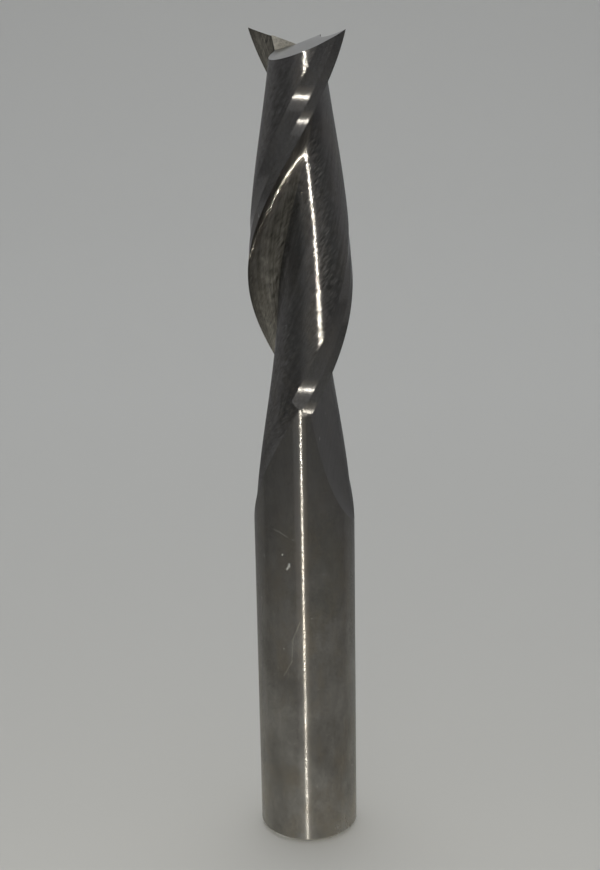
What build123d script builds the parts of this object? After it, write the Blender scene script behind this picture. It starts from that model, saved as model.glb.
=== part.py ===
from build123d import *
import math
import os

# A solid two-flute upcut router bit. Z = 0 is the flat end of the shank and +Z runs along the axis
# to the cutting end. At the very top the two cutting points lie on the X axis.

# Driving dimensions, millimetres and degrees.
overall_length = 103.6
shank_radius = 6.35
shank_length = 43.2
shank_chamfer = 0.6
cutting_radius = 6.32
blend_length = 0.5
lead = 69.1

# Section of one tooth: its cutting edge is on +X and it cuts towards +Y.
floor_radius = 2.445
back_radius = 4.41
back_centre = Vector(-1.733, 0.141)
primary_relief = 14.2
primary_width = 1.30
secondary_relief = 28.3
secondary_width = 1.98
land_inset = 0.01

# Heights from which the two reliefs run out into the full diameter, in a round scoop whose bottom
# line lies a little deeper than the land.
primary_end = 59.5
secondary_end = 60.7
scoop_radius = 1.8
scoop_depth = 0.02

# The flute floor climbs out to the shank on a ramp that leans on the tooth behind. The direction
# the ramp faces and its clearance over that tooth swing away as it nears the shank.
washout_heights = (69.0, 63.0, 58.0, 54.0, 50.5, 47.5, 45.5, 44.2, shank_length)
washout_facing = 181.6
washout_swing = 23.4
washout_swing_height = 3.1
washout_clearance = 0.03
washout_lift = 0.33
washout_lift_height = 0.9

# Cutting end: each half falls inwards and backwards from its point, and a gash parts the halves.
dish_angle = 15.7
end_relief = 16.0
gash_top_angle = 26.0
gash_bottom_angle = -4.0

margin = 3.0
seam_turn = 110
reach = 60.0
top = overall_length + 1
base = (Align.CENTER, Align.CENTER, Align.MIN)


def polar(distance, degrees):
    angle = math.radians(degrees)
    return Vector(distance * math.cos(angle), distance * math.sin(angle))


def angle_of(vector):
    return math.degrees(math.atan2(vector.Y, vector.X))


def twist_at(height):
    return (height - overall_length) / lead * 360


def helical(profile, bottom):
    """Sweep a profile, drawn as it lies at the cutting points, up the helix from a height."""
    start = Rot(0, 0, twist_at(bottom)) * Pos(0, 0, bottom) * profile
    climb = Vector(0, 0, top - bottom)
    turn = twist_at(top) - twist_at(bottom)
    return Solid.extrude_linear_with_rotation(start.face(), Vector(0, 0, bottom), climb, turn)


# The floor arc starts at the cutting edge and rolls into the rounded back of the tooth behind.
tip = Vector(cutting_radius, 0)
span = tip - back_centre
centres = floor_radius + back_radius
along = (span.length ** 2 + centres ** 2 - floor_radius ** 2) / (2 * span.length)
aside = math.sqrt(centres ** 2 - along ** 2)
floor_centre = back_centre + span.normalized() * along + span.normalized().rotate(Axis.Z, 90) * aside
hook_angle = angle_of(tip - floor_centre) + 90
inflection = angle_of(floor_centre - back_centre)
floor_end = back_centre + polar(back_radius, inflection)
mouth_angle = hook_angle - 90 + 35
flute_mouth = floor_centre + polar(floor_radius, mouth_angle)
floor_middle = floor_centre + polar(floor_radius, (mouth_angle + inflection - 180) / 2)

# Behind the edge: the primary land, the secondary land and the heel.
edge = Vector(cutting_radius - land_inset, 0)
primary_line = polar(1, -90 - primary_relief)
primary_normal = polar(1, -primary_relief)
secondary_line = polar(1, -90 - secondary_relief)
secondary_normal = polar(1, -secondary_relief)
primary_corner = edge + primary_line * primary_width
heel = primary_corner + secondary_line * secondary_width

# The back of the tooth behind ends at its own heel, then runs straight out of the cylinder.
heel_angle = angle_of(-heel - back_centre)
back_end = back_centre + polar(back_radius, heel_angle)
back_middle = back_centre + polar(back_radius, (heel_angle + inflection) / 2)
flute_exit = back_end + polar(margin, heel_angle + 90)
far = cutting_radius + margin

flute_profile = make_face([
    ThreePointArc(flute_mouth, floor_middle, floor_end),
    ThreePointArc(floor_end, back_middle, back_end),
    Line(back_end, flute_exit),
    Line(flute_exit, (-far, far)),
    Line((-far, far), (far, far)),
    Line((far, far), flute_mouth),
])

primary_profile = make_face(Polyline(
    edge - primary_line * margin,
    primary_corner,
    primary_corner + primary_normal * margin,
    (far, primary_corner.Y),
    (far, far),
    close=True,
))
secondary_profile = make_face(Polyline(
    primary_corner - secondary_line * margin,
    heel + secondary_line * margin,
    heel + secondary_line * margin + heel.normalized() * margin,
    (far, -far),
    (far, primary_corner.Y),
    close=True,
))


def washout_section(height):
    """The ramp at one height: a rectangle whose corner stands just clear of the tooth behind."""
    above = height - shank_length
    facing = washout_facing + washout_swing * math.exp(-above / washout_swing_height)
    clearance = washout_clearance + washout_lift * math.exp(-above / washout_lift_height)
    corner = back_centre.rotate(Axis.Z, twist_at(height)) + polar(back_radius + clearance, facing)
    outline = Rectangle(reach, reach, align=(Align.MAX, Align.MAX))
    return (Pos(corner.X, corner.Y, height) * Rot(0, 0, facing) * outline).face().outer_wire()


def land_cutter(profile, normal, end):
    """A relief cutter that ends in a round scoop, so the relief runs out to the full diameter."""
    bottom_line = primary_corner - normal * scoop_depth
    middle = bottom_line + normal * scoop_radius + Vector(0, 0, end)
    scoop = Plane(middle, x_dir=normal, z_dir=normal.rotate(Axis.Z, -90)).location
    scoop = Rot(0, 0, twist_at(end)) * scoop * Cylinder(scoop_radius, 2 * margin)
    above = Pos(0, 0, end) * Cylinder(cutting_radius + 2 * margin, overall_length, align=base)
    return helical(profile, end - scoop_radius) & (above + scoop)


def behind(origin, normal):
    """Everything behind a plane."""
    block = Box(reach * 4, reach * 4, reach * 4, align=(Align.CENTER, Align.CENTER, Align.MAX))
    return Plane(origin, z_dir=normal).location * block


shank = Cylinder(shank_radius, shank_length, align=base)
shank = chamfer(shank.edges().sort_by(Axis.Z)[0], shank_chamfer)
blend = Pos(0, 0, shank_length) * Cone(shank_radius, cutting_radius, blend_length, align=base)
cutting_start = shank_length + blend_length
blank = Pos(0, 0, cutting_start) * Cylinder(cutting_radius, overall_length - cutting_start, align=base)
# The round blank is turned so that the seam of its surface stays clear of the flutes' edges.
cutting_part = Rot(0, 0, seam_turn) * (blend + blank)

washout = Solid.make_loft([washout_section(height) for height in washout_heights])
flute = helical(flute_profile, shank_length) - washout
primary_cutter = land_cutter(primary_profile, primary_normal, primary_end)
secondary_cutter = land_cutter(secondary_profile, secondary_normal, secondary_end)
for cutter in (flute, primary_cutter, secondary_cutter):
    cutting_part = cutting_part - cutter - Rot(0, 0, 180) * cutter

# The end is what lies under both flanks, plus each tooth's own wedge behind its gash wall.
fall = math.tan(math.radians(dish_angle))
relief = math.tan(math.radians(end_relief))
centre_point = Vector(0, 0, overall_length - fall * edge.X)
flank = behind(centre_point, Vector(-fall, -relief, 1))
gash_top = polar(1, gash_top_angle)
gash_bottom = polar(1, gash_bottom_angle)
gash_top = gash_top + Vector(0, 0, gash_top.X * fall + gash_top.Y * relief)
gash_bottom = gash_bottom - Vector(0, 0, gash_bottom.X * fall + gash_bottom.Y * relief)
wedge = flank & behind(centre_point, gash_top.cross(gash_bottom))
end_shape = (flank & Rot(0, 0, 180) * flank) + wedge + Rot(0, 0, 180) * wedge
bit = (cutting_part & end_shape) + shank

os.makedirs("parts", exist_ok=True)
export_step(bit, "parts/router_bit.step")
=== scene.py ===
import math

import bmesh
import bpy
import numpy as np
from mathutils import Matrix, Vector


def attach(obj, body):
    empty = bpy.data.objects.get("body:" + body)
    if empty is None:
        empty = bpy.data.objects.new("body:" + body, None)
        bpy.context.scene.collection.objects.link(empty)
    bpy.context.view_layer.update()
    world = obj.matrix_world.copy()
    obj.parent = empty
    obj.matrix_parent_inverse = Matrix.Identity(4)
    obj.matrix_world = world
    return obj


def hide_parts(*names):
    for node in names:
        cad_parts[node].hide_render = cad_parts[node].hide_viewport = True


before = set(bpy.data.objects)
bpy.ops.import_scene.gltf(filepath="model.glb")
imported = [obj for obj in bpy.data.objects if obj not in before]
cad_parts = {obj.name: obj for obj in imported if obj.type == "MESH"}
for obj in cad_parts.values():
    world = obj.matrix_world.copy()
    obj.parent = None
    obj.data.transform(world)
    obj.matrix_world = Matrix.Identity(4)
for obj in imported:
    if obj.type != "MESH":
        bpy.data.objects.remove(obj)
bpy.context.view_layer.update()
metre = 1000  # The bit is measured in millimetres, and Blender works in metres.

# Measurements of the bit in millimetres and degrees, as the CAD has them. Only the cutting part is
# 0.03 mm larger in radius here, so that it runs into the shank without a step.
bit = {
    "length": 103.6,
    "radius": 6.35,
    "chamfer": 0.6,
    "lead": 69.1,
    "edgeRadius": 6.34,
    "floorRadius": 2.445,
    "backRadius": 4.41,
    "backCentre": (-1.733, 0.141),
    "primaryRelief": 14.2,
    "primaryWidth": 1.30,
    "primaryEnd": 59.5,
    "secondaryRelief": 28.3,
    "secondaryWidth": 1.98,
    "secondaryEnd": 60.7,
    "scoopRadius": 1.8,
    "scoopDepth": 0.02,
    "washoutBottom": 43.2,
    "washoutTop": 69.0,
    "washoutFacing": 181.6,
    "washoutSwing": 23.4,
    "washoutSettle": 3.1,
    "washoutLift": 0.33,
    "washoutLiftHeight": 0.9,
    "dishAngle": 15.7,
    "endRelief": 16.0,
    "gashTopAngle": 26.0,
    "gashBottomAngle": -4.0,
}
# Points across each zone of the section, in order from one cutting edge to the next.
zonePoints = {"floor": 36, "ramp": 20, "back": 44, "heel": 5, "secondary": 12, "wall": 3, "primary": 10}
zoneFinishes = ("floor", "ramp", "back", "back", "land", "land", "land")
# Where the rings of the mesh stand, and how close counts as the same, in millimetres and degrees.
mesh = {
    "shankHeights": (6.0, 14.0, 22.0, 30.0, 38.0),
    "openingRings": 16,
    "rings": ((44.0, 0.06), (45.4, 0.2), (58.4, 0.1), (61.4, 0.3)),  # From a height, in such steps.
    "overshoot": 1.5,
    "rampReach": 15.0,  # The ramps are certain to show this far above the shank.
    "heelHalvings": 30,
    "closingHalvings": 40,
    "roundWithin": 0.004,
    "mergeWithin": 0.002,
    "flatWithin": 0.001,
    "sharpAngle": 11,
}
almostZero = 1e-9


def polar(distance, degrees):
    angle = np.radians(degrees)
    return np.stack([distance * np.cos(angle), distance * np.sin(angle)], axis=-1)


def angleOf(vector):
    return math.degrees(math.atan2(vector[1], vector[0]))


def twistAt(height):
    return (height - bit["length"]) / bit["lead"] * 360


def straight(start, end, count):
    return start + np.linspace(0, 1, count)[:, None] * (end - start)


# The last value at which something still holds, found by halving the gap between two values.
def lastWhere(holds, low, high, halvings):
    for _ in range(halvings):
        middle = (low + high) / 2
        if holds(middle):
            low = middle
        else:
            high = middle
    return high


# The fixed corners of the section, in the frame of one tooth. Its floor arc starts at the cutting
# edge and rolls into the rounded back of the other tooth.
edge = np.array([bit["edgeRadius"], 0.0])
backCentre = np.array(bit["backCentre"])
span = edge - backCentre
spanLength = np.linalg.norm(span)
centres = bit["floorRadius"] + bit["backRadius"]
along = (spanLength ** 2 + centres ** 2 - bit["floorRadius"] ** 2) / (2 * spanLength)
aside = math.sqrt(centres ** 2 - along ** 2)
across = np.array([-span[1], span[0]]) / spanLength
floorCentre = backCentre + span / spanLength * along + across * aside
floorStart = angleOf(edge - floorCentre)
inflection = angleOf(floorCentre - backCentre)
primaryCorner = edge + polar(bit["primaryWidth"], -90 - bit["primaryRelief"])
heel = primaryCorner + polar(bit["secondaryWidth"], -90 - bit["secondaryRelief"])
heelAngle = angleOf(-heel - backCentre)
heelPoint = backCentre + polar(bit["backRadius"], heelAngle)
heelLine = polar(1.0, heelAngle + 90)
cornerAngle = angleOf(primaryCorner)


# Distance of a land from the axis at angles seen from its own tooth, scooped out at its end.
def landRadius(height, angles, relief, end):
    offset = primaryCorner @ polar(1.0, -relief)
    land = offset / np.cos(np.radians(angles + relief))
    below = end - height
    if below >= bit["scoopRadius"]:
        return np.full(len(angles), bit["radius"])
    if below > 0:
        sag = bit["scoopRadius"] - math.sqrt(bit["scoopRadius"] ** 2 - below ** 2)
        turned = below / bit["lead"] * 360
        scoop = (offset - bit["scoopDepth"] + sag) / np.cos(np.radians(angles + relief - turned))
        land = np.maximum(land, scoop)
    return np.minimum(land, bit["radius"])


# Where the straight heel line, followed from a point, comes out of the secondary land.
def heelExit(height, start):
    def inside(distance):
        point = start + heelLine * distance
        angle = np.array([angleOf(-point)])
        surface = landRadius(height, angle, bit["secondaryRelief"], bit["secondaryEnd"])[0]
        return np.linalg.norm(point) < surface

    slope = start @ heelLine
    furthest = -slope + math.sqrt(max(slope ** 2 - start @ start + bit["radius"] ** 2, 0))
    return start + heelLine * lastWhere(inside, 0.0, furthest, mesh["heelHalvings"])


# Where a washout ramp faces, how far it stands off the back and how far it is from the axis.
def rampAt(height):
    above = height - bit["washoutBottom"]
    swing = bit["washoutSwing"] * math.exp(-above / bit["washoutSettle"])
    facing = (bit["washoutFacing"] + swing - twistAt(height) + 180) % 360 - 180
    clearance = bit["washoutLift"] * math.exp(-above / bit["washoutLiftHeight"])
    return facing, clearance, backCentre @ polar(1.0, facing) + bit["backRadius"] + clearance


# The height at which the ramps reach the full diameter and the plain shank begins.
closing = lastWhere(
    lambda height: rampAt(height)[2] > bit["radius"],
    bit["washoutBottom"],
    bit["washoutBottom"] + 1,
    mesh["closingHalvings"],
)


# Floor, ramp, back and heel line of one flute at a height, each as a run of points.
def floorCurves(height):
    radius = bit["radius"]
    exitPoint = heelExit(height, heelPoint)
    facing, clearance, distance = rampAt(height)
    pastRamp = height > bit["washoutBottom"] + mesh["rampReach"] and facing < inflection
    if pastRamp or height > bit["washoutTop"]:
        floorAngles = np.linspace(floorStart, inflection - 180, zonePoints["floor"])
        floor = floorCentre + polar(bit["floorRadius"], floorAngles)
        ramp = np.repeat(floor[-1:], zonePoints["ramp"], axis=0)
        backAngles = np.linspace(inflection, heelAngle, zonePoints["back"])
        back = backCentre + polar(bit["backRadius"], backAngles)
        return [floor, ramp, back, straight(heelPoint, exitPoint, zonePoints["heel"])]
    # The ramp is a straight line. It stops at its own corner, at the heel line or at the full diameter.
    outward = polar(1.0, facing)
    leftward = polar(1.0, facing + 90)
    half = math.sqrt(max(radius ** 2 - distance ** 2, 0))
    corner = backCentre + outward * (bit["backRadius"] + clearance)
    reach = corner @ leftward
    rampEnd = outward * distance - leftward * half
    heelNormal = polar(1.0, heelAngle)
    heelDepth = heelPoint @ heelNormal
    if facing < heelAngle:
        backAngles = np.linspace(facing, heelAngle, zonePoints["back"])
        back = backCentre + polar(bit["backRadius"], backAngles)
        back[0] = corner
        heelRun = straight(heelPoint, exitPoint, zonePoints["heel"])
    else:
        closingIn = min(leftward @ heelNormal, -almostZero)
        meeting = (heelDepth - distance * (outward @ heelNormal)) / closingIn
        stop = min(reach, meeting, half)
        corner = outward * distance + leftward * stop
        if stop == half:
            back = np.repeat(corner[None], zonePoints["back"], axis=0)
            heelAngles = np.linspace(angleOf(corner), angleOf(exitPoint), zonePoints["heel"])
            heelRun = polar(radius, heelAngles)
        else:
            foot = corner - heelNormal * (corner @ heelNormal - heelDepth)
            back = straight(corner, foot, zonePoints["back"])
            heelRun = straight(foot, exitPoint, zonePoints["heel"])
    if angleOf(rampEnd) > 0:
        floor = polar(radius, np.linspace(0, angleOf(rampEnd), zonePoints["floor"]))
    else:
        # Higher up the ramp only fills the bottom of the hollow floor.
        offset = distance - floorCentre @ outward
        swing = math.degrees(math.acos(max(-1, min(1, offset / bit["floorRadius"]))))
        crossing = (facing - swing + 360) % 360 - 360
        crossing = max(min(crossing, floorStart), inflection - 180)
        floorAngles = np.linspace(floorStart, crossing, zonePoints["floor"])
        floor = floorCentre + polar(bit["floorRadius"], floorAngles)
    return [floor, straight(floor[-1], corner, zonePoints["ramp"]), back, heelRun]


# The two lands and the little wall between them, from the heel to the next cutting edge.
def landCurves(height, start):
    curves = []
    runs = (("secondary", angleOf(-start), cornerAngle), ("primary", cornerAngle, 0.0))
    for name, first, last in runs:
        angles = np.linspace(first, last, zonePoints[name])
        radii = landRadius(height, angles, bit[name + "Relief"], bit[name + "End"])
        curves.append(-polar(1.0, angles) * radii[:, None])
    secondary, primary = curves
    return [secondary, straight(secondary[-1], primary[0], zonePoints["wall"]), primary]


# Both halves of the closed section at a height, turned to where the helix has brought it.
def ringAt(height):
    level = max(height, closing)
    curves = floorCurves(level)
    curves += landCurves(level, curves[-1][-1])
    half = np.concatenate([curve[:-1] for curve in curves])
    ring = np.concatenate([half, -half])
    if height < level:
        # The shank keeps the columns of the lowest section, on a full circle.
        ring = ring / np.linalg.norm(ring, axis=1)[:, None] * bit["radius"]
    angle = math.radians(twistAt(level))
    turn = np.array([[math.cos(angle), math.sin(angle)], [-math.sin(angle), math.cos(angle)]])
    return ring @ turn


def ringHeights():
    top = bit["length"] + mesh["overshoot"]
    heights = [0.0, bit["chamfer"], *mesh["shankHeights"], bit["washoutBottom"]]
    starts = [start for start, step in mesh["rings"]] + [top]
    # The ramps open up fast at first, so the rings start close together.
    opening = np.linspace(0, 1, mesh["openingRings"], endpoint=False) ** 2
    heights += list(closing + (starts[0] - closing) * opening)
    for (start, step), end in zip(mesh["rings"], starts[1:]):
        heights += list(np.linspace(start, end, round((end - start) / step), endpoint=False))
    return heights + [top]


print("scene: section ready")


# Adds nodes to a material or a world. Each call adds what it needs and returns what comes out.
class Shader:
    def __init__(self, owner):
        owner.use_nodes = True
        self.nodes = owner.node_tree.nodes
        self.links = owner.node_tree.links

    def feed(self, socket, value):
        if isinstance(value, bpy.types.NodeSocket):
            self.links.new(value, socket)
        else:
            socket.default_value = value

    def add(self, kind, output, inputs=None, **settings):
        node = self.nodes.new("ShaderNode" + kind)
        for name, value in settings.items():
            setattr(node, name, value)
        for socket, value in (inputs or {}).items():
            if value is not None:
                self.feed(node.inputs[socket], value)
        return node.outputs[output]

    def coordinates(self, grain, space="Object", slant=0):
        # Grain is the size of one feature along each axis. It is turned by the slant afterwards.
        if space == "UV":
            source = self.add("UVMap", "UV", uv_map="grind")
        else:
            source = self.add("TexCoord", space)
        inputs = {"Vector": source, "Rotation": (0, 0, math.radians(slant)), "Scale": grain}
        return self.add("Mapping", "Vector", inputs, vector_type="TEXTURE")

    def noise(self, place, detail, roughness=0.5):
        inputs = {"Vector": place, "Scale": 1.0, "Detail": detail, "Roughness": roughness}
        return self.add("TexNoise", "Fac", inputs)

    def spread(self, value, low, high, start=0.0, end=1.0):
        # While the value goes from start to end, the result goes from low to high.
        inputs = {"Value": value, "From Min": start, "From Max": end, "To Min": low, "To Max": high}
        return self.add("MapRange", "Result", inputs)

    def calculate(self, operation, first, second):
        return self.add("Math", "Value", {0: first, 1: second}, operation=operation)

    def mixColor(self, share, first, second):
        inputs = {"Factor": share, "A": first, "B": second}
        return self.add("Mix", "Result", inputs, data_type="RGBA")

    def vector(self, operation, first, second=None, scale=None):
        inputs = {0: first, 1: second, "Scale": scale}
        return self.add("VectorMath", "Vector", inputs, operation=operation)

    def measure(self, operation, first, second=None):
        return self.add("VectorMath", "Value", {0: first, 1: second}, operation=operation)

    def parts(self, vector):
        node = self.nodes.new("ShaderNodeSeparateXYZ")
        self.feed(node.inputs["Vector"], vector)
        return [node.outputs[axis] for axis in "XYZ"]

    # Fine grooves tilt the surface to and fro in one direction, so a lamp is drawn out to a thin line.
    # A slighter wave across them makes the line ragged.
    def grooves(self, slope, wave, turn):
        normal = self.add("NewGeometry", "Normal")
        level = self.vector("NORMALIZE", self.vector("CROSS_PRODUCT", (0, 0, 1), normal))
        up = self.vector("CROSS_PRODUCT", normal, level)
        tilted = normal
        for amount, angle in ((slope, math.radians(turn)), (wave, math.radians(turn + 90))):
            sideways = self.vector("SCALE", level, scale=math.cos(angle))
            upward = self.vector("SCALE", up, scale=math.sin(angle))
            tilt = self.vector("SCALE", self.vector("ADD", sideways, upward), scale=amount)
            tilted = self.vector("ADD", tilted, tilt)
        return self.vector("NORMALIZE", tilted)

    # A light line from point to point over the shank, rolled out flat in millimetres.
    def scratched(self, color, place, scratch):
        points = []
        for angle, height in scratch["points"]:
            points.append(Vector((math.radians(angle) * bit["radius"], height, 0)))
        for start, end in zip(points, points[1:]):
            along = end - start
            offset = self.vector("SUBTRACT", place, start)
            share = self.measure("DOT_PRODUCT", offset, along / along.length_squared)
            nearest = self.vector("SCALE", along, scale=self.spread(share, 0, 1))
            distance = self.measure("DISTANCE", offset, nearest)
            cover = self.spread(distance, scratch["strength"], 0, 0, scratch["width"])
            color = self.mixColor(cover, color, scratch["color"])
        return color


# Brown smears left by handling, small bright nicks and a few scratches on the shank. Each scratch
# runs through points given as degrees round the shank and millimetres above its end.
wear = {
    "mottleSize": (0.005, 0.005, 0.009),
    "stainSize": (0.0035, 0.0035, 0.006),
    "stainRange": (0.47, 0.65),
    "stainColor": (0.228, 0.203, 0.163, 1),
    "speckSize": (0.0005, 0.0005, 0.0005),
    "speckRange": (0.785, 0.825),
    "speckColor": (0.6, 0.6, 0.58, 1),
    "scratches": (
        {
            "points": ((-70.1, 31.6), (-78.5, 29.2), (-80.3, 26.1), (-90.5, 24.0)),
            "width": 0.12, "strength": 0.35, "color": (0.5, 0.48, 0.44, 1),
        },
        {
            "points": ((-84.0, 38.7), (-81.6, 39.1), (-81.3, 39.4)),
            "width": 0.22, "strength": 1.0, "color": (0.9, 0.9, 0.86, 1),
        },
        {
            "points": ((-89.5, 40.5), (-89.0, 40.6)),
            "width": 0.16, "strength": 1.0, "color": (0.8, 0.8, 0.76, 1),
        },
        {
            "points": ((-99.5, 43.7), (-92.0, 43.5), (-83.2, 43.0)),
            "width": 0.10, "strength": 0.5, "color": (0.5, 0.49, 0.46, 1),
        },
    ),
}
fineGrain = {"detail": 3.0, "roughness": 0.6}
patchyGrain = {"detail": 5.0, "roughness": 0.65}
dotGrain = {"detail": 1.0}
grainRange = (0.3, 0.7)  # Nearly all of a noise lies between these values.


# Ground carbide: the wheel's marks tilt its surface, and bands along the grind shade its colour.
def groundMetal(name, look):
    metal = bpy.data.materials.new(name)
    shader = Shader(metal)
    surface = shader.nodes["Principled BSDF"].inputs
    surface["Metallic"].default_value = look["metal"]
    surface["Specular Tint"].default_value = look["edge"]
    surface["Anisotropic"].default_value = look["anisotropy"]
    surface["Anisotropic Rotation"].default_value = look["turn"] / 360
    along = {"axis": "Z"} if look["tangent"] == "RADIAL" else {"uv_map": "grind"}
    tangent = shader.add("Tangent", "Tangent", direction_type=look["tangent"], **along)
    shader.feed(surface["Tangent"], tangent)
    place = shader.coordinates(look["marks"], look["space"], look["slant"])
    marks = shader.noise(place, **fineGrain)
    bands = shader.noise(shader.coordinates(look["bands"], look["space"]), **fineGrain)
    mottling = shader.noise(shader.coordinates(wear["mottleSize"]), **patchyGrain)
    banded = shader.spread(bands, 0, look["contrast"], *grainRange)
    mottled = shader.spread(mottling, 0, 1 - look["contrast"], *grainRange)
    tone = shader.calculate("ADD", banded, mottled)
    color = shader.mixColor(tone, look["dark"], look["light"])
    spots = (("stain", patchyGrain, look["stain"]), ("speck", dotGrain, look["specks"]))
    for kind, grain, share in spots:
        patches = shader.noise(shader.coordinates(wear[kind + "Size"]), **grain)
        cover = shader.spread(patches, 0, share, *wear[kind + "Range"])
        color = shader.mixColor(cover, color, wear[kind + "Color"])
    roughness = shader.spread(tone, look["smooth"], look["rough"])
    if "paintedShadeTop" in look:
        # Up the shank the colour is painted darker, as painted shade for the dimmer reflection there,
        # and the metal is smoother.
        x, y, height = shader.parts(shader.add("TexCoord", "Object"))
        shadedTop = shader.spread(height, 0, look["paintedShadeShare"], *look["paintedShadeFrom"])
        color = shader.mixColor(shadedTop, color, look["paintedShadeTop"])
        worn = shader.spread(height, look["worn"], 0, *look["wornTo"])
        roughness = shader.calculate("ADD", roughness, worn)
        around = shader.calculate("MULTIPLY", shader.calculate("ARCTAN2", y, x), bit["radius"])
        upward = shader.calculate("MULTIPLY", height, metre)
        rolledOut = shader.add("CombineXYZ", "Vector", {"X": around, "Y": upward})
        for scratch in wear["scratches"]:
            color = shader.scratched(color, rolledOut, scratch)
    shader.feed(surface["Base Color"], color)
    shader.feed(surface["Roughness"], roughness)
    if "steepness" in look:
        place = shader.coordinates(look["waves"], look["space"], look["slant"])
        waves = shader.noise(place, **dotGrain)
        slope = shader.spread(marks, -look["steepness"], look["steepness"])
        wave = shader.spread(waves, -look["wander"], look["wander"])
        normal = shader.grooves(slope, wave, look["turn"])
    else:
        inputs = {"Strength": 1.0, "Distance": look["relief"], "Height": marks}
        normal = shader.add("Bump", "Normal", inputs)
    shader.feed(surface["Normal"], normal)
    return metal


# Sizes of marks, bands and waves are in metres for "Object" and in millimetres across and up the
# section for "UV". Turn is the direction in which the ground surface spreads light, in degrees from
# level. The order is the order of the mesh's materials.
looks = {
    "shank": {
        "dark": (0.145, 0.139, 0.127, 1), "light": (0.305, 0.297, 0.28, 1),
        "edge": (0.8, 0.8, 0.8, 1), "metal": 1.0, "stain": 0.6, "specks": 1.0,
        "smooth": 0.19, "rough": 0.21, "contrast": 0.1,
        "anisotropy": 1.0, "turn": 90, "tangent": "RADIAL", "space": "Object",
        "bands": (0.0025, 0.0025, 0.004), "marks": (0.0003, 0.0003, 0.000016),
        "slant": 0, "steepness": 2.6,
        "waves": (0.002, 0.002, 0.00012), "wander": 0.016,
        # Painted shade: the shank's colour darkens towards its top.
        "paintedShadeTop": (0.132, 0.131, 0.128, 1), "paintedShadeShare": 0.8, "paintedShadeFrom": (0.028, 0.052),
        "worn": 0.07, "wornTo": (0.0, 0.045),
    },
    "floor": {
        "dark": (0.165, 0.158, 0.144, 1), "light": (0.38, 0.366, 0.335, 1),
        "edge": (0.6, 0.6, 0.6, 1), "metal": 1.0, "stain": 0.2, "specks": 0.3,
        "smooth": 0.16, "rough": 0.20, "contrast": 0.8,
        "anisotropy": 1.0, "turn": 145, "tangent": "UV_MAP", "space": "UV",
        "bands": (0.45, 14.0, 1), "marks": (0.025, 2.0, 1), "slant": -35, "steepness": 4.0,
        "waves": (0.05, 0.7, 1), "wander": 0.03,
    },
    "ramp": {
        "dark": (0.155, 0.152, 0.148, 1), "light": (0.21, 0.206, 0.20, 1),
        "edge": (0.6, 0.6, 0.6, 1), "metal": 1.0, "stain": 0.2, "specks": 1.0,
        "smooth": 0.20, "rough": 0.24, "contrast": 0.6,
        "anisotropy": 1.0, "turn": 145, "tangent": "UV_MAP", "space": "UV",
        "bands": (0.5, 8.0, 1), "marks": (0.025, 2.0, 1), "slant": -35, "steepness": 1.2,
        "waves": (0.12, 1.0, 1), "wander": 0.03,
    },
    "back": {
        "dark": (0.135, 0.133, 0.13, 1), "light": (0.245, 0.242, 0.236, 1),
        "edge": (0.6, 0.6, 0.6, 1), "metal": 1.0, "stain": 0.2, "specks": 0.5,
        "smooth": 0.16, "rough": 0.20, "contrast": 0.7,
        "anisotropy": 1.0, "turn": 145, "tangent": "UV_MAP", "space": "UV",
        "bands": (0.5, 12.0, 1), "marks": (0.045, 1.0, 1), "slant": -35, "steepness": 2.2,
        "waves": (0.10, 0.5, 1), "wander": 0.07,
    },
    "land": {
        "dark": (0.138, 0.136, 0.133, 1), "light": (0.202, 0.2, 0.196, 1),
        "edge": (0.6, 0.6, 0.6, 1), "metal": 1.0, "stain": 0.2, "specks": 0.6,
        "smooth": 0.20, "rough": 0.24, "contrast": 0.6,
        "anisotropy": 1.0, "turn": 90, "tangent": "RADIAL", "space": "UV",
        "bands": (0.25, 0.07, 1), "marks": (0.5, 0.018, 1), "slant": 0, "steepness": 3.2,
        "waves": (0.25, 0.05, 1), "wander": 0.03,
    },
    "flank": {
        "dark": (0.33, 0.335, 0.335, 1), "light": (0.40, 0.405, 0.405, 1),
        "edge": (1, 1, 1, 1), "metal": 1.0, "stain": 0.1, "specks": 0.0,
        "smooth": 0.45, "rough": 0.55, "contrast": 0.6,
        "anisotropy": 0.3, "turn": 0, "tangent": "RADIAL", "space": "Object",
        "bands": (0.002, 0.00011, 0.002), "marks": (0.002, 0.00011, 0.002),
        "slant": 0, "relief": 2e-6,
    },
    "gash": {
        "dark": (0.30, 0.29, 0.26, 1), "light": (0.62, 0.60, 0.55, 1),
        "edge": (1, 1, 1, 1), "metal": 0.3, "stain": 0.0, "specks": 1.0,
        "smooth": 0.6, "rough": 0.75, "contrast": 0.9,
        "anisotropy": 0.0, "turn": 0, "tangent": "RADIAL", "space": "Object",
        "bands": (0.00025, 0.00025, 0.00025), "marks": (0.00025, 0.00025, 0.00025),
        "slant": 0, "relief": 8e-6,
    },
}
materials = [groundMetal("carbide_" + name, look) for name, look in looks.items()]
slotOf = {name: index for index, name in enumerate(looks)}
print("scene: finishes ready")


def addMesh(name, points, faces, slots=None):
    data = bpy.data.meshes.new(name)
    data.from_pydata(points, [], faces)
    if slots:
        for material in materials:
            data.materials.append(material)
        data.polygons.foreach_set("material_index", slots)
    item = bpy.data.objects.new(name, data)
    bpy.context.scene.collection.objects.link(item)
    return item


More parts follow.
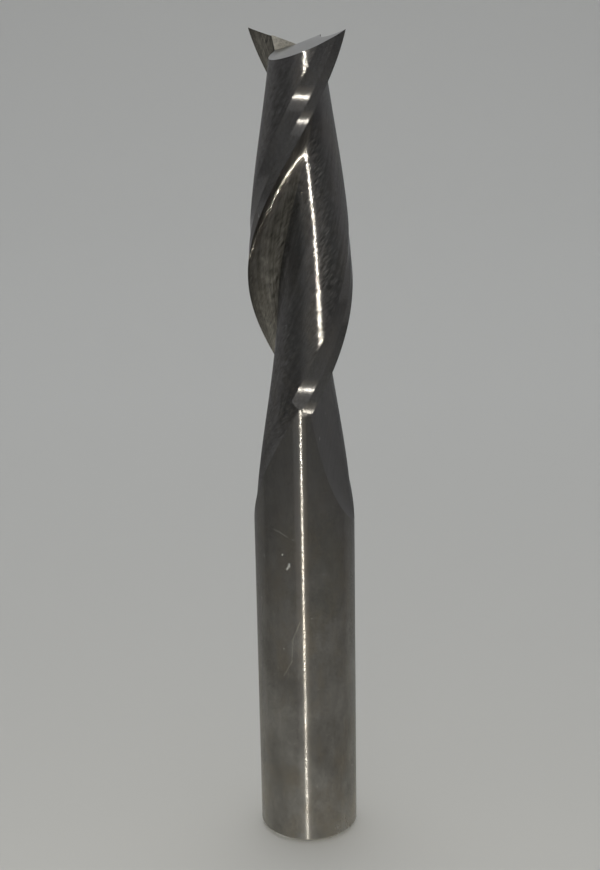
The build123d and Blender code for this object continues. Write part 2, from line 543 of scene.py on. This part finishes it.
# The whole bit up to a little past its cutting points, as a grid of rings and columns.
def makeBody():
    heights = ringHeights()
    rings = []
    for height in heights:
        ring = ringAt(height)
        if height == 0:
            ring = ring * (1 - bit["chamfer"] / bit["radius"])
        rings.append(np.column_stack([ring, np.full(len(ring), height)]))
    rings = np.array(rings)
    levels, count = rings.shape[:2]
    onShank = np.linalg.norm(rings[:, :, :2], axis=2) > bit["radius"] - mesh["roundWithin"]
    # The texture is laid out across the section and up the bit, both in millimetres.
    steps = np.linalg.norm(np.diff(rings, axis=1, append=rings[:, :1]), axis=2)
    acrossSection = np.concatenate([np.zeros((levels, 1)), np.cumsum(steps, axis=1)], axis=1)
    columnSlots = []
    for points, finish in zip(zonePoints.values(), zoneFinishes):
        columnSlots += [slotOf[finish]] * (points - 1)
    columnSlots += columnSlots
    faces = []
    slots = []
    corners = []
    for level in range(levels - 1):
        for column in range(count):
            above = level + 1
            square = ((level, column), (level, column + 1), (above, column + 1), (above, column))
            faces.append([row * count + place % count for row, place in square])
            plain = all(onShank[row, place % count] for row, place in square)
            slots.append(slotOf["shank"] if plain else columnSlots[column])
            corners += [(acrossSection[row, place], heights[row]) for row, place in square]
    for level in (0, levels - 1):
        loop = list(range(level * count, (level + 1) * count))
        faces.append(loop[::-1] if level == 0 else loop)
        slots.append(slotOf["shank"])
        corners += [(0, 0)] * count
    made = addMesh("router_bit_body", (rings.reshape(-1, 3) / metre).tolist(), faces, slots)
    layer = made.data.uv_layers.new(name="grind")
    layer.data.foreach_set("uv", np.array(corners, float).ravel())
    return made


# What the end grinding leaves: two falling flanks parted by two leaning gash walls. The block goes
# well past the bit on every side, and the angles are further corners of a flank's outer border.
endBlock = {"reach": 14.0, "bottom": -5.0, "angles": (-15, -65, -115, -150)}


def makeEndBlock():
    fall = math.tan(math.radians(bit["dishAngle"]))
    relief = math.tan(math.radians(bit["endRelief"]))
    centreHeight = bit["length"] - fall * bit["edgeRadius"]
    angles = (bit["gashTopAngle"], *endBlock["angles"], bit["gashBottomAngle"] - 180)
    points = [(0, 0, centreHeight)]
    for half in (0, 180):
        for angle in angles:
            x, y = polar(endBlock["reach"], angle)
            turnedX, turnedY = polar(endBlock["reach"], angle + half)
            points.append((turnedX, turnedY, centreHeight + fall * x + relief * y))
    # The first corner of each flank is the top of a gash wall, with no wall of its own below.
    count = len(angles)
    firsts = (1, count + 1)
    bottoms = {}
    for index in range(1, len(points)):
        if index not in firsts:
            bottoms[index] = len(points)
            points.append((points[index][0], points[index][1], endBlock["bottom"]))
    faces = []
    for first, otherFirst in (firsts, firsts[::-1]):
        last = first + count - 1
        for index in range(first, last):
            faces.append(((0, index + 1, index), "flank"))
            if index > first:
                faces.append(((index, index + 1, bottoms[index + 1], bottoms[index]), "shank"))
        faces.append(((0, otherFirst, last), "gash"))
        faces.append(((last, otherFirst, otherFirst + 1), "shank"))
        faces.append(((last, otherFirst + 1, bottoms[otherFirst + 1], bottoms[last]), "shank"))
    faces.append((tuple(bottoms.values()), "shank"))
    inMetres = [tuple(value / metre for value in point) for point in points]
    slots = [slotOf[finish] for corners, finish in faces]
    made = addMesh("end", inMetres, [corners for corners, finish in faces], slots)
    work = bmesh.new()
    work.from_mesh(made.data)
    bmesh.ops.recalc_face_normals(work, faces=work.faces[:])
    work.to_mesh(made.data)
    work.free()
    return made


# Merge the columns that run together where a zone has no width.
def mergeColumns(body):
    work = bmesh.new()
    work.from_mesh(body.data)
    bmesh.ops.remove_doubles(work, verts=work.verts[:], dist=mesh["mergeWithin"] / metre)
    bmesh.ops.dissolve_degenerate(work, edges=work.edges[:], dist=mesh["flatWithin"] / metre)
    bmesh.ops.recalc_face_normals(work, faces=work.faces[:])
    work.to_mesh(body.data)
    work.free()


# Keep only what lies inside the end block.
def grindEnd(body, block):
    modifier = body.modifiers.new("end", "BOOLEAN")
    modifier.operation = "INTERSECT"
    modifier.solver = "EXACT"
    modifier.object = block
    bpy.context.view_layer.update()
    evaluated = body.evaluated_get(bpy.context.evaluated_depsgraph_get())
    ground = bpy.data.meshes.new_from_object(evaluated)
    body.modifiers.clear()
    body.data = ground
    bpy.data.objects.remove(block)


# Smooth shading with crisp edges. Where the bit is round, its normals are a true cylinder's.
def smoothBody(body):
    data = body.data
    data.shade_smooth()
    data.set_sharp_from_angle(angle=math.radians(mesh["sharpAngle"]))
    roundFrom = (bit["radius"] - mesh["roundWithin"]) / metre
    lowest = (bit["chamfer"] - mesh["flatWithin"]) / metre
    normals = [(0.0, 0.0, 0.0)] * len(data.loops)  # Blender works out the ones left at zero.
    for face in data.polygons:
        points = [data.vertices[index].co for index in face.vertices]
        if all(point.xy.length > roundFrom and point.z > lowest for point in points):
            for loop, point in zip(face.loop_indices, points):
                normals[loop] = (point.x / point.xy.length, point.y / point.xy.length, 0.0)
    data.normals_split_custom_set(normals)


body = makeBody()
mergeColumns(body)
grindEnd(body, makeEndBlock())
smoothBody(body)
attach(body, "root")
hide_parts("router_bit")
print("scene: bit ready")

# The camera, from the same fit that gave the bit's proportions, in millimetres and degrees.
camera = {
    "side": -0.375,
    "distance": 191.5,
    "height": 115.8,
    "pitch": 17.81,
    "roll": 1.01,
    "turn": 27.1,
    "focal": 1612 / 870,  # Focal length over the height of the picture.
    "sensor": 36.0,
    "clipStart": 0.01,
}
cameraTurn = Matrix.Rotation(math.radians(camera["turn"]), 4, "Z")


def makeCamera():
    data = bpy.data.cameras.new("camera")
    data.sensor_fit = "VERTICAL"
    data.sensor_height = camera["sensor"]
    data.lens = camera["focal"] * camera["sensor"]
    data.clip_start = camera["clipStart"]
    made = bpy.data.objects.new("camera", data)
    bpy.context.scene.collection.objects.link(made)
    stand = Vector((camera["side"], -camera["distance"], camera["height"])) / metre
    tilt = Matrix.Rotation(math.radians(90 - camera["pitch"]), 4, "X")
    roll = Matrix.Rotation(math.radians(-camera["roll"]), 4, "Z")
    made.matrix_world = cameraTurn @ Matrix.Translation(stand) @ tilt @ roll
    bpy.context.scene.camera = made
    return made


cameraObject = makeCamera()

# A pale sheet that rises behind the bit, in metres. The metal shows a painted reflection of it:
# to glossy rays it glows bright near the bit, darker further off and grey behind.
backdrop = {
    "width": 6.0,
    "front": -3.0,
    "back": 0.45,
    "bend": 0.25,
    "bendSteps": 15,
    "height": 1.2,
    # The paper's colour is painted darker at the front, as painted shade against the lamp's stronger
    # light there.
    "frontColor": (0.62, 0.622, 0.60, 1),
    "backColor": (0.67, 0.675, 0.66, 1),
    "change": (-0.02, 0.2),
    # Painted reflection: the glow that glossy rays see in place of the lit paper.
    "near": (0.67, 0.66, 0.60, 1),
    "far": (0.105, 0.104, 0.102, 1),
    "reach": (0.005, 0.13),
    "behind": (0.40, 0.40, 0.405, 1),
    "behindReach": (0.02, 0.3),
}


def backdropPaper():
    paper = bpy.data.materials.new("backdrop")
    shader = Shader(paper)
    surface = shader.nodes["Principled BSDF"]
    surface.inputs["Roughness"].default_value = 1
    surface.inputs["Specular IOR Level"].default_value = 0
    place = shader.add("TexCoord", "Object")
    depth = shader.parts(place)[1]
    # Painted shade: the paper is darker towards the front, which evens out the lamp's stronger light
    # near the bit.
    change = shader.spread(depth, 0, 1, *backdrop["change"])
    seen = shader.mixColor(change, backdrop["frontColor"], backdrop["backColor"])
    shader.feed(surface.inputs["Base Color"], seen)
    # Painted reflection: glossy rays see a glow instead of the paper. It is bright near the bit, dark
    # further off and grey behind.
    away = shader.spread(shader.measure("LENGTH", place), 0, 1, *backdrop["reach"])
    ahead = shader.mixColor(away, backdrop["near"], backdrop["far"])
    behind = shader.spread(depth, 0, 1, *backdrop["behindReach"])
    mirrored = shader.mixColor(behind, ahead, backdrop["behind"])
    inputs = {
        "Fac": shader.add("LightPath", "Is Glossy Ray"),
        1: surface.outputs["BSDF"],
        2: shader.add("Emission", "Emission", {"Color": mirrored}),
    }
    blend = shader.add("MixShader", "Shader", inputs)
    shader.feed(shader.nodes["Material Output"].inputs["Surface"], blend)
    return paper


def makeBackdrop():
    profile = [(backdrop["front"], 0.0), (backdrop["back"], 0.0)]
    for step in range(1, backdrop["bendSteps"] + 1):
        angle = math.radians(90 * step / backdrop["bendSteps"])
        depth = backdrop["back"] + backdrop["bend"] * math.sin(angle)
        profile.append((depth, backdrop["bend"] * (1 - math.cos(angle))))
    profile.append((backdrop["back"] + backdrop["bend"], backdrop["height"]))
    points = []
    for side in (-0.5, 0.5):
        points += [(side * backdrop["width"], y, z) for y, z in profile]
    count = len(profile)
    faces = [(i, count + i, count + i + 1, i + 1) for i in range(count - 1)]
    sheet = addMesh("backdrop", points, faces)
    sheet.data.shade_smooth()
    sheet.data.materials.append(backdropPaper())
    sheet.matrix_world = cameraTurn


makeBackdrop()

# A soft overhead panel, a dim room that is lighter above, and a compact lamp beside the camera, with
# a card at each side of it.
light = {
    "room": (0.13, 0.13, 0.132, 1),
    "ceiling": (0.40, 0.405, 0.415, 1),
    "rise": (0.15, 0.7),
    "panel": {
        "shape": "ELLIPSE", "size": (0.8, 0.8), "power": 2.2,
        "place": (0.0, 0.35, 0.9), "color": (1, 1, 1),
    },
    "lamp": {
        "shape": "ELLIPSE", "size": (0.003, 0.003), "power": 0.145,
        "place": (-0.017, 0.010, 0.0), "color": (1, 0.96, 0.87),
    },
    "left": {
        "shape": "RECTANGLE", "size": (0.056, 0.2), "power": 0.014,
        "place": (-0.045, 0.0, 0.0), "color": (1, 1, 1),
    },
    "right": {
        "shape": "RECTANGLE", "size": (0.038, 0.2), "power": 0.008,
        "place": (0.002, 0.0, 0.0), "color": (1, 0.86, 0.66),
    },
}


def addLight(name, stand):
    look = light[name]
    data = bpy.data.lights.new(name, "AREA")
    data.shape = look["shape"]
    data.size, data.size_y = look["size"]
    data.energy = look["power"]
    data.color = look["color"]
    made = bpy.data.objects.new(name, data)
    bpy.context.scene.collection.objects.link(made)
    target = Vector((0, 0, bit["length"] / 2 / metre))
    made.location = stand @ Vector(look["place"])
    made.rotation_euler = (target - made.location).to_track_quat("-Z", "Y").to_euler()
    return data


def makeRoom():
    room = bpy.data.worlds.new("room")
    shader = Shader(room)
    upward = shader.parts(shader.add("TexCoord", "Generated"))[2]
    rise = shader.spread(upward, 0, 1, *light["rise"])
    tint = shader.mixColor(rise, light["room"], light["ceiling"])
    shader.feed(shader.nodes["Background"].inputs["Color"], tint)
    return room


addLight("panel", cameraTurn)
for name in ("lamp", "left", "right"):
    # These stand beside the camera's place and cast no shadows.
    addLight(name, cameraObject.matrix_world).use_shadow = False
scene = bpy.context.scene
scene.world = makeRoom()
scene.view_settings.view_transform = "Standard"
print("scene: stage and light ready")
